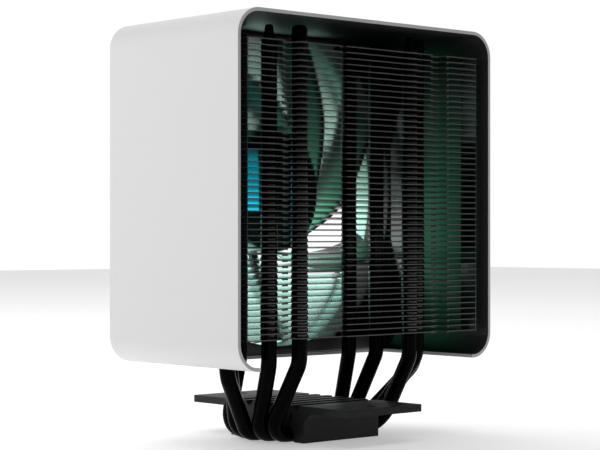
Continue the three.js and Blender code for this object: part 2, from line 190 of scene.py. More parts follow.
def prism(name, outline, lo, hi, along, mats, smooth=30.0):
    """An outline pushed along an axis. along Y: outline is (x, z). along X: (y, z). along Z: (x, y)."""
    verts = []
    for d in (lo, hi):
        for a, b in outline:
            verts.append({"X": (d, a, b), "Y": (a, d, b), "Z": (a, b, d)}[along])
    n = len(outline)
    faces = [tuple(range(n)), tuple(range(2 * n - 1, n - 1, -1))]
    faces += [(i, (i + 1) % n, n + (i + 1) % n, n + i) for i in range(n)]
    return obj_from(name, verts, faces, mats, smooth)


def circle(cx, cy, r, n, turn=0.0):
    return [(cx + r * math.cos(turn + 2 * math.pi * i / n), cy + r * math.sin(turn + 2 * math.pi * i / n)) for i in range(n)]


def rrect(x0, y0, x1, y1, r, n):
    out = []
    for cx, cy, s in ((x1 - r, y0 + r, -90), (x1 - r, y1 - r, 0), (x0 + r, y1 - r, 90), (x0 + r, y0 + r, 180)):
        for i in range(n + 1):
            a = math.radians(s + 90 * i / n)
            out.append((cx + r * math.cos(a), cy + r * math.sin(a)))
    return out


def join(objs, name):
    """Several meshes into one, keeping their materials."""
    bm = bmesh.new()
    mats = []
    for o in objs:
        me = o.data
        local = []
        for m in me.materials:
            if m not in mats:
                mats.append(m)
            local.append(mats.index(m))
        start = len(bm.faces)
        bm.from_mesh(me)
        bm.faces.ensure_lookup_table()
        for f in bm.faces[start:]:
            f.material_index = local[f.material_index] if local else 0
    me = bpy.data.meshes.new(name)
    bm.to_mesh(me)
    bm.free()
    for m in mats:
        me.materials.append(m)
    new = bpy.data.objects.new(name, me)
    scene.collection.objects.link(new)
    for o in objs:
        old = o.data
        bpy.data.objects.remove(o)
        bpy.data.meshes.remove(old)
    return new


def place(o, body, nodes=()):
    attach(o, body)
    if nodes:
        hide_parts(*nodes)
    return o


# ----------------------------------------------------------------- materials
class Nodes:
    """A small writer of node trees."""

    def __init__(self, name):
        self.mat = bpy.data.materials.new(name)
        self.mat.use_nodes = True
        self.nt = self.mat.node_tree
        self.bsdf = self.nt.nodes["Principled BSDF"]
        self.out = self.nt.nodes["Material Output"]
        self.co = self.nt.nodes.new("ShaderNodeTexCoord").outputs["Object"]

    def add(self, kind, **props):
        n = self.nt.nodes.new(kind)
        for k, v in props.items():
            setattr(n, k, v)
        return n

    def link(self, a, b):
        self.nt.links.new(a, b)

    def scaled(self, sx, sy, sz):
        m = self.add("ShaderNodeMapping")
        m.inputs["Scale"].default_value = (sx, sy, sz)
        self.link(self.co, m.inputs["Vector"])
        return m.outputs["Vector"]

    def noise(self, scale, detail=3.0, rough=0.55, vector=None):
        n = self.add("ShaderNodeTexNoise")
        n.inputs["Scale"].default_value = scale
        n.inputs["Detail"].default_value = detail
        n.inputs["Roughness"].default_value = rough
        self.link(vector or self.co, n.inputs["Vector"])
        return n.outputs["Fac"]

    def ramp(self, fac, stops):
        r = self.add("ShaderNodeValToRGB")
        e = r.color_ramp.elements
        while len(e) < len(stops):
            e.new(0.5)
        for el, (p, c) in zip(e, stops):
            el.position = p
            el.color = c if len(c) == 4 else (*c, 1)
        self.link(fac, r.inputs["Fac"])
        return r.outputs["Color"]

    def spread(self, fac, lo, hi, f0=0.3, f1=0.7):
        m = self.add("ShaderNodeMapRange")
        m.inputs["From Min"].default_value = f0
        m.inputs["From Max"].default_value = f1
        m.inputs["To Min"].default_value = lo
        m.inputs["To Max"].default_value = hi
        self.link(fac, m.inputs["Value"])
        return m.outputs["Result"]

    def math(self, op, a, b=None):
        m = self.add("ShaderNodeMath", operation=op)
        for i, v in enumerate((a, b)):
            if v is None:
                continue
            if isinstance(v, (int, float)):
                m.inputs[i].default_value = v
            else:
                self.link(v, m.inputs[i])
        return m.outputs[0]

    def bump(self, height, strength, distance, normal=None):
        b = self.add("ShaderNodeBump")
        b.inputs["Strength"].default_value = strength
        b.inputs["Distance"].default_value = distance
        self.link(height, b.inputs["Height"])
        if normal:
            self.link(normal, b.inputs["Normal"])
        return b.outputs["Normal"]

    def set(self, **kw):
        for k, v in kw.items():
            k = {"coat_rough": "Coat Roughness", "coat": "Coat Weight", "spec": "Specular IOR Level", "rough": "Roughness",
                 "metal": "Metallic", "base": "Base Color", "normal": "Normal", "emit": "Emission Color",
                 "emit_strength": "Emission Strength", "sss": "Subsurface Weight", "trans": "Transmission Weight",
                 "aniso": "Anisotropic", "ior": "IOR"}[k]
            if hasattr(v, "is_linked") or hasattr(v, "links"):
                self.link(v, self.bsdf.inputs[k])
            elif isinstance(v, tuple):
                self.bsdf.inputs[k].default_value = (*v, 1)
            else:
                self.bsdf.inputs[k].default_value = v
        return self

    def edge_wear(self, lo=0.53, hi=0.6):
        g = self.add("ShaderNodeNewGeometry")
        return self.spread(g.outputs["Pointiness"], 0.0, 1.0, lo, hi)

    def mix(self, fac, a, b):
        m = self.add("ShaderNodeMix", data_type="RGBA")
        if isinstance(fac, (int, float)):
            m.inputs["Factor"].default_value = fac
        else:
            self.link(fac, m.inputs["Factor"])
        for sock, v in (("A", a), ("B", b)):
            i = [s for s in m.inputs if s.name == sock and s.type == "RGBA"][0]
            if isinstance(v, tuple):
                i.default_value = (*v, 1)
            else:
                self.link(v, i)
        return [s for s in m.outputs if s.type == "RGBA"][0]


def grey(v, warm=0.0):
    return (v * (1 + warm), v, v * (1 - warm))


def finish_mat(name, dark, light, r0, r1, metal=0.0, scale=60.0, fine=900.0, bump=0.05, depth=2e-5, spec=0.5, stretch=None, coat=0.0, coat_rough=0.1):
    """Painted, moulded or plated surface: slow colour drift, mottled gloss, fine grain."""
    n = Nodes(name)
    v = n.scaled(*stretch) if stretch else n.co
    slow = n.noise(scale, 4.0, 0.6)
    grain = n.noise(fine, 5.0, 0.6, v)
    both = n.math("ADD", n.math("MULTIPLY", slow, 0.6), n.math("MULTIPLY", grain, 0.4))
    n.set(base=n.ramp(both, [(0.3, dark), (0.7, light)]), rough=n.spread(both, r0, r1), metal=metal, spec=spec)
    if bump:
        n.set(normal=n.bump(grain, bump, depth))
    if coat:
        n.set(coat=coat, coat_rough=coat_rough)
    return n


M_WHITE = finish_mat("shroud_white", grey(0.765), grey(0.79), 0.42, 0.52, fine=2600.0, bump=0.12, depth=4e-5, scale=25.0).mat
# black inner paint; painted green light from the fan is added to it below
N_INNER_WITH_PAINTED_LIGHT = finish_mat("shroud_inside_with_painted_light", grey(0.018), grey(0.026), 0.42, 0.52, fine=2200.0, bump=0.12, depth=4e-5, scale=25.0)
M_INNER_WITH_PAINTED_LIGHT = N_INNER_WITH_PAINTED_LIGHT.mat
# painted shade: the sheet's front edge is the same white paint, given a grey for the weak light from the front
M_RIM_PAINTED_SHADE = finish_mat("shroud_rim_painted_shade", grey(0.42), grey(0.5), 0.35, 0.45, fine=2600.0, bump=0.08, depth=3e-5, scale=30.0).mat
M_FIN = finish_mat("fin_black", grey(0.010), grey(0.016), 0.14, 0.2, metal=0.0, scale=40.0, fine=500.0, bump=0.03, depth=1e-5,
                   spec=0.6, stretch=(0.08, 1.0, 1.0)).mat
M_FIN_EDGE = finish_mat("fin_edge", grey(0.045), grey(0.075), 0.38, 0.5, metal=0.35, scale=120.0, fine=1500.0, bump=0.1, depth=1e-5).mat
M_PIPE = finish_mat("pipe_black", grey(0.0008), grey(0.0016), 0.14, 0.19, metal=0.0, scale=70.0, fine=700.0, bump=0.03, depth=1e-5,
                    spec=0.02).mat
M_BASE = finish_mat("base_dark", grey(0.018, 0.01), grey(0.026, 0.01), 0.48, 0.58, metal=0.5, scale=50.0, fine=600.0, bump=0.06,
                    depth=1.2e-5, spec=0.2, stretch=(0.06, 1.0, 1.0)).mat
M_FRAME = finish_mat("frame_plastic", grey(0.012), grey(0.018), 0.36, 0.5, scale=60.0, fine=3000.0, bump=0.12, depth=3e-5).mat
M_RUBBER = finish_mat("pad_rubber", grey(0.015), grey(0.026), 0.7, 0.9, scale=90.0, fine=1800.0, bump=0.25, depth=5e-5).mat
M_STEEL = finish_mat("motor_steel", grey(0.30), grey(0.42), 0.22, 0.36, metal=1.0, scale=80.0, fine=900.0, bump=0.06, depth=1e-5,
                     stretch=(1.0, 0.05, 1.0)).mat
M_SCREW = finish_mat("screw_steel", grey(0.10), grey(0.17), 0.25, 0.4, metal=1.0, scale=300.0, fine=2500.0, bump=0.08, depth=1e-5).mat
M_BRASS = finish_mat("bearing_brass", (0.42, 0.29, 0.11), (0.55, 0.39, 0.16), 0.28, 0.42, metal=1.0, scale=200.0, fine=2500.0, bump=0.2, depth=2e-5).mat
M_FERRITE = finish_mat("magnet_ferrite", grey(0.035), grey(0.06), 0.55, 0.75, scale=200.0, fine=2500.0, bump=0.3, depth=4e-5).mat
M_CLIP = finish_mat("clip_nylon", grey(0.45), grey(0.55), 0.35, 0.5, scale=200.0, fine=2000.0, bump=0.05).mat


def coil_mat():
    n = Nodes("coil_wire")
    w = n.add("ShaderNodeTexWave", wave_type="BANDS", bands_direction="Y")
    w.inputs["Scale"].default_value = 900.0
    w.inputs["Distortion"].default_value = 0.6
    n.link(n.co, w.inputs["Vector"])
    n.set(base=n.ramp(w.outputs["Fac"], [(0.1, (0.12, 0.035, 0.01)), (0.8, (0.48, 0.17, 0.06))]), metal=1.0,
          rough=n.spread(n.noise(500.0), 0.25, 0.4), normal=n.bump(w.outputs["Fac"], 0.8, 1e-4))
    return n.mat


def board_mat():
    n = Nodes("circuit_board")
    v = n.add("ShaderNodeTexVoronoi", feature="DISTANCE_TO_EDGE")
    v.inputs["Scale"].default_value = 420.0
    n.link(n.co, v.inputs["Vector"])
    tracks = n.spread(v.outputs["Distance"], 1.0, 0.0, 0.02, 0.07)
    n.set(base=n.mix(tracks, (0.006, 0.035, 0.02), (0.02, 0.09, 0.045)), rough=n.spread(n.noise(700.0), 0.3, 0.45),
          normal=n.bump(tracks, 0.4, 3e-5))
    return n.mat


M_COIL = coil_mat()
M_BOARD = board_mat()


def angle_fac(n):
    """0 to 1 round the fan's axis, from -180 to 180 degrees, 0.5 on the +X side."""
    s = n.add("ShaderNodeSeparateXYZ")
    n.link(n.co, s.inputs[0])
    a = n.math("ARCTAN2", n.math("SUBTRACT", s.outputs["Z"], AZ * MM), s.outputs["X"])
    return n.math("ADD", n.math("DIVIDE", a, 2 * math.pi), 0.5)


LED = [(0.0, (0.0, 0.62, 0.80)), (0.18, (0.10, 0.80, 0.70)), (0.36, (0.50, 0.95, 0.80)), (0.45, (0.42, 0.85, 0.66)), (0.54, (0.40, 0.85, 0.62)),
       (0.66, (0.06, 0.62, 0.40)), (0.82, (0.02, 0.62, 0.55)), (1.0, (0.0, 0.62, 0.80))]


def painted_fan_light_on_walls(n):
    """Painted green light from the fan on the walls beside it: emission fading towards the open rim and the corners.
    """
    s = n.add("ShaderNodeSeparateXYZ")
    n.link(n.co, s.inputs[0])
    dz = n.math("DIVIDE", n.math("SUBTRACT", s.outputs["Z"], (AZ - 6) * MM), 0.046)
    painted_light_height_falloff = n.math("POWER", 2.718, n.math("MULTIPLY", n.math("MULTIPLY", dz, dz), -1.0))
    painted_light_depth_falloff = n.spread(s.outputs["Y"], 0.0, 1.0, -0.034, -0.006)
    side = n.spread(n.math("ABSOLUTE", s.outputs["X"]), 0.04, 1.0, 0.060, 0.0645)
    led_and_painted_light_level = n.math("MULTIPLY", n.math("MULTIPLY", painted_light_height_falloff, painted_light_depth_falloff), side)
    n.set(emit=n.mix(led_and_painted_light_level, (0.0, 0.0, 0.0), (0.008, 0.062, 0.033)), emit_strength=1.0)


# painted light: green emission on the inner walls where the fan's light falls, no lamp
painted_fan_light_on_walls(N_INNER_WITH_PAINTED_LIGHT)


def glow_mat(name, strength, stops=LED, base=(0.55, 0.75, 0.72)):
    """Milky plastic lit from behind: the colour runs round the axis, the light is patchy near each diode."""
    n = Nodes(name)
    a = angle_fac(n)
    col = n.ramp(a, stops)
    spots = n.math("SINE", n.math("MULTIPLY", a, 2 * math.pi * 24))
    led_and_painted_light_level = n.math("MULTIPLY", n.spread(spots, 0.86, 1.1, -1.0, 1.0), n.spread(n.noise(90.0), 0.92, 1.06))
    tint = n.mix(led_and_painted_light_level, (0.0, 0.0, 0.0), col)
    grain = n.noise(1800.0, 4.0)
    n.set(base=base, rough=n.spread(grain, 0.3, 0.45), emit=tint, emit_strength=strength, normal=n.bump(grain, 0.06, 2e-5))
    return n.mat


M_GLOW = glow_mat("light_ring_glow", 0.7)


def around(n, stops):
    return n.ramp(angle_fac(n), stops)


# colours of the painted light on the blades, round the axis
BLADE_PAINTED_LIGHT_TINT = [(0.0, (0.02, 0.42, 0.50)), (0.14, (0.08, 0.46, 0.40)), (0.28, (0.09, 0.40, 0.30)), (0.42, (0.10, 0.38, 0.24)),
              (0.58, (0.09, 0.36, 0.22)), (0.72, (0.07, 0.34, 0.24)), (0.88, (0.04, 0.38, 0.36)), (1.0, (0.02, 0.42, 0.50))]


def blade_painted_light_mat():
    """Smoky clear plastic with painted light: emission bright in the middle of the chord and near the hub, with
    painted shade along its edges.
    """
    n = Nodes("blade_smoke_painted_light")
    uv = n.add("ShaderNodeUVMap", uv_map="chord")
    s = n.add("ShaderNodeSeparateXYZ")
    n.link(uv.outputs["UV"], s.inputs[0])
    # painted shade: the emission is dark along both edges of the chord and bright in the middle
    chord = n.ramp(s.outputs["X"], [(0.0, (0, 0, 0)), (0.10, (0.03, 0.03, 0.03)), (0.24, (0.9, 0.9, 0.9)), (0.62, (1, 1, 1)), (0.86, (0.12, 0.12, 0.12)), (1.0, (0.02, 0.02, 0.02))])
    painted_hub_light_falloff = n.spread(s.outputs["Y"], 1.0, 0.12, 0.05, 0.95)
    grain = n.noise(2400.0, 4.0)
    slow = n.noise(70.0, 3.0)
    led_and_painted_light_level = n.math("MULTIPLY", n.math("MULTIPLY", chord, painted_hub_light_falloff), n.spread(slow, 0.9, 1.08))
    n.set(base=n.ramp(slow, [(0.3, (0.012, 0.016, 0.016)), (0.7, (0.020, 0.026, 0.025))]), rough=n.spread(grain, 0.24, 0.34),
          normal=n.bump(grain, 0.05, 1.5e-5), emit=n.mix(led_and_painted_light_level, (0.0, 0.0, 0.0), around(n, BLADE_PAINTED_LIGHT_TINT)), emit_strength=1.0)
    return n.mat


def painted_cyan_light_patch(n):
    """Painted cyan light on the closed face, on the -X side of the axis: a patch of emission with no window or lamp
    behind it.
    """
    s = n.add("ShaderNodeSeparateXYZ")
    n.link(n.co, s.inputs[0])
    dz = n.math("SUBTRACT", s.outputs["Z"], AZ * MM)
    cyan_patch_mask = n.math("MULTIPLY", n.spread(s.outputs["X"], 1.0, 0.0, -0.0105, -0.0095), n.spread(dz, 1.0, 0.0, 0.0125, 0.0135))
    cyan_patch_mask = n.math("MULTIPLY", cyan_patch_mask, n.spread(dz, 0.0, 1.0, -0.0078, -0.0068))
    # only the closed face and its rounded edge, not the wall of the hub
    cyan_patch_mask = n.math("MULTIPLY", cyan_patch_mask, n.spread(s.outputs["Y"], 1.0, 0.0, 0.0180, 0.0186))
    return n.mix(cyan_patch_mask, (0.0, 0.002, 0.002), (0.01, 0.36, 0.47))


def hub_painted_light_mat():
    n = Nodes("hub_smoke_painted_light")
    grain = n.noise(2600.0, 4.0)
    slow = n.noise(60.0, 3.0)
    # the emission is the painted cyan light patch
    n.set(base=n.ramp(slow, [(0.3, grey(0.012)), (0.7, grey(0.02))]), rough=n.spread(grain, 0.28, 0.36), normal=n.bump(grain, 0.06, 1.5e-5),
          emit=painted_cyan_light_patch(n), emit_strength=1.6)
    return n.mat


M_HUB_PAINTED_LIGHT = hub_painted_light_mat()
N_CAP_PAINTED_LIGHT = finish_mat("cap_black_painted_light", grey(0.018), grey(0.028), 0.22, 0.34, metal=0.4, scale=80.0, fine=2500.0, bump=0.06, depth=1e-5)
# painted cyan light on the cap, the same patch as on the hub
N_CAP_PAINTED_LIGHT.set(emit=painted_cyan_light_patch(N_CAP_PAINTED_LIGHT), emit_strength=1.6)
M_CAP_PAINTED_LIGHT = N_CAP_PAINTED_LIGHT.mat
M_BLADE_PAINTED_LIGHT = blade_painted_light_mat()

# ------------------------------------------------------------- camera, stage
cam_data = bpy.data.cameras.new("camera")
cam = bpy.data.objects.new("camera", cam_data)
scene.collection.objects.link(cam)
PHI = math.radians(42.0753)
cam.location = (-0.464717, -0.512128, 0.077491)
cam.rotation_euler = (math.pi / 2, 0, -PHI)
cam_data.sensor_width = 36.0
cam_data.lens = 36.0 * 1766.862 / 600.0
cam_data.shift_y = 12.098 / 600.0
cam_data.clip_start = 0.01
cam_data.dof.use_dof = False
scene.camera = cam
scene.view_settings.view_transform = "Standard"
scene.view_settings.look = "None"


def stage_mat():
    n = Nodes("floor_pale")
    n.set(base=n.ramp(n.noise(3.0), [(0.3, grey(0.84)), (0.7, grey(0.86))]), rough=0.85, spec=0.1, emit=(1.0, 1.0, 1.0), emit_strength=0.40)
    return n.mat


floor = prism("floor", [(-3, -3), (3, -3), (3, 3), (-3, 3)], -0.004, -0.0002, "Z", [stage_mat()])
for v in floor.data.vertices:
    v.co = (v.co.x / MM, v.co.y / MM, v.co.z / MM)

world = bpy.data.worlds.new("studio")
scene.world = world
world.use_nodes = True
bg = world.node_tree.nodes["Background"]
bg.inputs["Color"].default_value = (1, 1, 1, 1)


def world_light():
    """A white backdrop wall on the far side (+X +Y), dim room on the near side."""
    nt = world.node_tree
    tc = nt.nodes.new("ShaderNodeTexCoord")
    dot = nt.nodes.new("ShaderNodeVectorMath")
    dot.operation = "DOT_PRODUCT"
    nt.links.new(tc.outputs["Generated"], dot.inputs[0])
    dot.inputs[1].default_value = (0.62, 0.78, 0.0)
    mr = nt.nodes.new("ShaderNodeMapRange")
    mr.interpolation_type = "SMOOTHSTEP"
    mr.inputs["From Min"].default_value = 0.0
    mr.inputs["From Max"].default_value = 0.75
    mr.inputs["To Min"].default_value = 0.16
    mr.inputs["To Max"].default_value = 1.02
    nt.links.new(dot.outputs["Value"], mr.inputs["Value"])
    nt.links.new(mr.outputs["Result"], bg.inputs["Strength"])


world_light()


def area(name, loc, look, size, power, color=(1, 1, 1)):
    d = bpy.data.lights.new(name, "AREA")
    d.energy = power
    d.shape = "RECTANGLE"
    d.size, d.size_y = size
    d.color = color
    o = bpy.data.objects.new(name, d)
    o.location = loc
    o.rotation_euler = (Vector(look) - Vector(loc)).to_track_quat("-Z", "Y").to_euler()
    scene.collection.objects.link(o)
    return o


# -------------------------------------------------------------- shroud shell
def make_shell():
    """Bent sheet: a rounded tube with the bottom cut away, rolled from one thickness of sheet."""
    x1 = SH_HI.x
    pts = rrect(-x1, SH_LO.z, x1, SH_HI.z, SH_R, 20)
    # stations along Y, with one on the cut-out's end and a small radius at its corners
    y0, y1 = SH_LO.y, SH_HI.y
    rc = 3.0
    # the outline, opened where the bottom runs from -CUT_X to CUT_X
    loop = []
    for i, p in enumerate(pts):
        loop.append(p)
    # insert the cut-out's edges on the flat of the bottom or at the bend
    cut_pts = []
    n = len(loop)
    out = []
    for i in range(n):
        a, b = loop[i], loop[(i + 1) % n]
        out.append(a)
        if a[1] < SH_LO.z + 4 and b[1] < SH_LO.z + 4:
            for cx in sorted((-CUT_X, CUT_X), key=lambda c: abs(c - a[0])):
                if (a[0] - cx) * (b[0] - cx) < 0:
                    t = (cx - a[0]) / (b[0] - a[0])
                    out.append((cx, a[1] + t * (b[1] - a[1])))
    loop = out
    ys = [y0, y0 + 12, -12.0, 0.0, CUT_Y, CUT_Y + 8, y1 - 6, y1]
    verts = [(x, y, z) for y in ys for x, z in loop]
    m = len(loop)
    faces = []
    for j in range(len(ys) - 1):
        for i in range(m):
            k = (i + 1) % m
            a, b = loop[i], loop[k]
            mid = ((a[0] + b[0]) / 2, (a[1] + b[1]) / 2)
            in_cut = abs(mid[0]) < CUT_X and mid[1] < SH_LO.z + 4 and ys[j + 1] <= CUT_Y + 1e-6
            if not in_cut:
                faces.append((j * m + i, j * m + k, (j + 1) * m + k, (j + 1) * m + i))
    o = obj_from("shroud", verts, faces, [M_WHITE, M_INNER_WITH_PAINTED_LIGHT, M_RIM_PAINTED_SHADE])
    me = o.data
    bm = bmesh.new()
    bm.from_mesh(me)
    # outward normals: the first face on the top must look up
    bm.faces.ensure_lookup_table()
    top = max(bm.faces, key=lambda f: f.calc_center_median().z)
    if top.normal.z < 0:
        bmesh.ops.reverse_faces(bm, faces=bm.faces)
    loose = [v for v in bm.verts if not v.link_faces]
    bmesh.ops.delete(bm, geom=loose, context="VERTS")
    # round the two inner corners of the cut-out in plan
    corner = [v for v in bm.verts if abs(abs(v.co.x) - CUT_X * MM) < 2e-5 and abs(v.co.y - CUT_Y * MM) < 2e-5 and v.co.z < (SH_LO.z + 4) * MM]
    bmesh.ops.bevel(bm, geom=corner, offset=rc * MM, segments=5, affect="VERTICES", profile=0.5)
    bm.to_mesh(me)
    bm.free()
    s = o.modifiers.new("sheet", "SOLIDIFY")
    s.thickness = WALL * MM
    s.offset = -1.0
    s.use_even_offset = True
    s.material_offset = 1
    s.material_offset_rim = 2
    apply_mods(o)
    bevel(o, 0.32, 3, 55.0)
    return place(o, "shroud", ["shroud_shell"])


make_shell()


# ---------------------------------------------------------------- heat pipes
def route(corners, radii, steps):
    pts = [corners[0]]
    for i in range(1, len(corners) - 1):
        p = corners[i]
        u = (corners[i - 1] - p).normalized()
        v = (corners[i + 1] - p).normalized()
        half = u.angle(v) / 2
        r = radii[i - 1]
        c = p + (u + v).normalized() * (r / math.sin(half))
        a = p + u * (r / math.tan(half)) - c
        b = p + v * (r / math.tan(half)) - c
        axis = a.cross(b).normalized()
        ang = a.angle(b)
        for k in range(steps + 1):
            pts.append(Matrix.Rotation(ang * k / steps, 3, axis) @ a + c)
    pts.append(corners[-1])
    return pts


def densify(pts, step):
    out = [pts[0]]
    for a, b in zip(pts, pts[1:]):
        n = max(1, int((b - a).length / step))
        out += [a.lerp(b, k / n) for k in range(1, n + 1)]
    return out


def make_pipe(i):
    lx, ly, knee = LEGS[i]
    by = (i - 2) * PIPE_PITCH
    bz = 2.77
    pts = route([Vector((-lx, ly, PIPE_TOP)), Vector((-lx, ly, knee)), Vector((-BASE_CORNER_X, by, bz)),
                 Vector((BASE_CORNER_X, by, bz)), Vector((lx, ly, knee)), Vector((lx, ly, PIPE_TOP))],
                [10.0, 9.0, 9.0, 10.0], 12)
    pts = densify(pts, 6.0)
    # the taper is on the -X leg of the second pipe and the +X leg of the first, turn about
    taper_end = {0: 1, 1: -1, 2: 1, 3: -1, 4: 1}[i]
    seg = 28
    # stations: (point, radius scale)
    total = [0.0]
    for a, b in zip(pts, pts[1:]):
        total.append(total[-1] + (b - a).length)
    length = total[-1]

    def end_profile(kind, top):
        # distances below the top and radius factors
        if kind == "blunt":
            return [(0.0, 0.0), (0.0, 0.45), (0.12, 0.62), (0.35, 0.78), (0.75, 0.9), (1.4, 0.98), (2.2, 1.0)]
        return [(0.0, 0.0), (0.0, 0.34), (0.12, 0.42), (0.5, 0.5), (2.6, 0.6), (4.6, 0.72), (6.6, 0.88), (7.8, 0.97), (9.0, 1.0)]
    left = end_profile("taper" if taper_end < 0 else "blunt", True)
    right = end_profile("taper" if taper_end > 0 else "blunt", True)
    st = []
    for d, s in left:
        st.append((Vector((-lx, ly, PIPE_TOP - d)), s))
    for p, t in zip(pts, total):
        if t > left[-1][0] + 0.5 and length - t > right[-1][0] + 0.5:
            st.append((p, 1.0))
    for d, s in reversed(right):
        st.append((Vector((lx, ly, PIPE_TOP - d)), s))
    verts, faces = [], []
    rows = []
    for k, (p, s) in enumerate(st):
        a = st[max(k - 1, 0)][0]
        b = st[min(k + 1, len(st) - 1)][0]
        t = (b - a)
        if t.length < 1e-6:
            t = Vector((0, 0, -1)) if k < len(st) / 2 else Vector((0, 0, 1))
        t.normalize()
        e1 = (Vector((0, 1, 0)) - t * t.y).normalized()
        e2 = t.cross(e1)
        row = []
        for j in range(seg):
            ang = 2 * math.pi * (j + 0.5) / seg
            q = p + (e1 * math.cos(ang) + e2 * math.sin(ang)) * (PIPE_R * s)
            # the run in the base is pressed flat, level with the contact face
            if abs(q.x) < 21.5 and q.z < 0.02:
                q.z = 0.0
            elif q.z < 0.0:
                q.z = 0.0
            row.append(len(verts))
            verts.append(tuple(q))
        rows.append(row)
    for ra, rb in zip(rows, rows[1:]):
        for j in range(seg):
            k = (j + 1) % seg
            faces.append((ra[j], ra[k], rb[k], rb[j]))
    o = obj_from(f"pipe_{i + 1}", verts, faces, [M_PIPE], 45)
    bm = bmesh.new()
    bm.from_mesh(o.data)
    bmesh.ops.remove_doubles(bm, verts=bm.verts, dist=2e-7)
    bmesh.ops.recalc_face_normals(bm, faces=bm.faces)
    bm.to_mesh(o.data)
    bm.free()
    shade(o, 45)
    return place(o, "heatsink", [f"heat_pipe_{i + 1}"])


for i in range(5):
    make_pipe(i)


# ---------------------------------------------------------------------- fins
def fin_outline():
    y0, y1, w = FIN_LO.y, FIN_HI.y, FIN_HI.x
    d = 3.4
    half = [
        (11.8, y0 + 0.0), (12.05, y0 + 0.35), (34.6, y0 + 0.35), (36.4, y0 + d), (37.2, y0 + d + 0.4), (40.6, y0 + d + 0.4), (41.4, y0 + d),
        (42.4, y0), (w - 0.6, y0), (w, y0 + 0.6), (w, y1 - 0.6), (w - 0.6, y1),
    ]
    left = [(-x, y) for x, y in half]
    # a narrow relief slot on one side of the middle, in every fin
    slot = [(-11.9, y0 + 0.0), (-11.9, y0 + 2.2), (-12.4, y0 + 2.6), (-13.3, y0 + 2.6), (-13.8, y0 + 2.2), (-13.8, y0 + 0.35)]
    ring = half + list(reversed(left))
    ring = ring[:-2] + list(reversed(slot)) if False else ring
    # replace the left middle step by the slot
    out = []
    for x, y in ring:
        if abs(x + 12.05) < 1e-6:
            out += list(reversed(slot))
        elif abs(x + 11.8) < 1e-6:
            continue
        else:
            out.append((x, y))
    return out


def fin_blank():
    """One flat sheet with its round pipe holes, from a filled curve."""
    cu = bpy.data.curves.new("fin_curve", "CURVE")
    cu.dimensions = "2D"
    cu.fill_mode = "BOTH"
    cu.extrude = FIN_T / 2 * MM

    def spline(pts):
        s = cu.splines.new("POLY")
        s.points.add(len(pts) - 1)
        for p, (x, y) in zip(s.points, pts):
            p.co = (x * MM, y * MM, 0, 1)
        s.use_cyclic_u = True
    spline(fin_outline())
    for lx, ly, _ in LEGS:
        for s in (-1, 1):
            spline(circle(s * lx, ly, PIPE_R + 0.22, 20))
    o = bpy.data.objects.new("fin_curve", cu)
    scene.collection.objects.link(o)
    dg = bpy.context.evaluated_depsgraph_get()
    me = bpy.data.meshes.new_from_object(o.evaluated_get(dg))
    bpy.data.objects.remove(o)
    bpy.data.curves.remove(cu)
    return me


def box_faces(verts, faces, mats, x0, y0, z0, x1, y1, z1, mat):
    b = len(verts)
    verts += [(x0, y0, z0), (x1, y0, z0), (x1, y1, z0), (x0, y1, z0), (x0, y0, z1), (x1, y0, z1), (x1, y1, z1), (x0, y1, z1)]
    for f in ((0, 3, 2, 1), (4, 5, 6, 7), (0, 1, 5, 4), (1, 2, 6, 5), (2, 3, 7, 6), (3, 0, 4, 7)):
        faces.append(tuple(b + i for i in f))
        mats.append(mat)


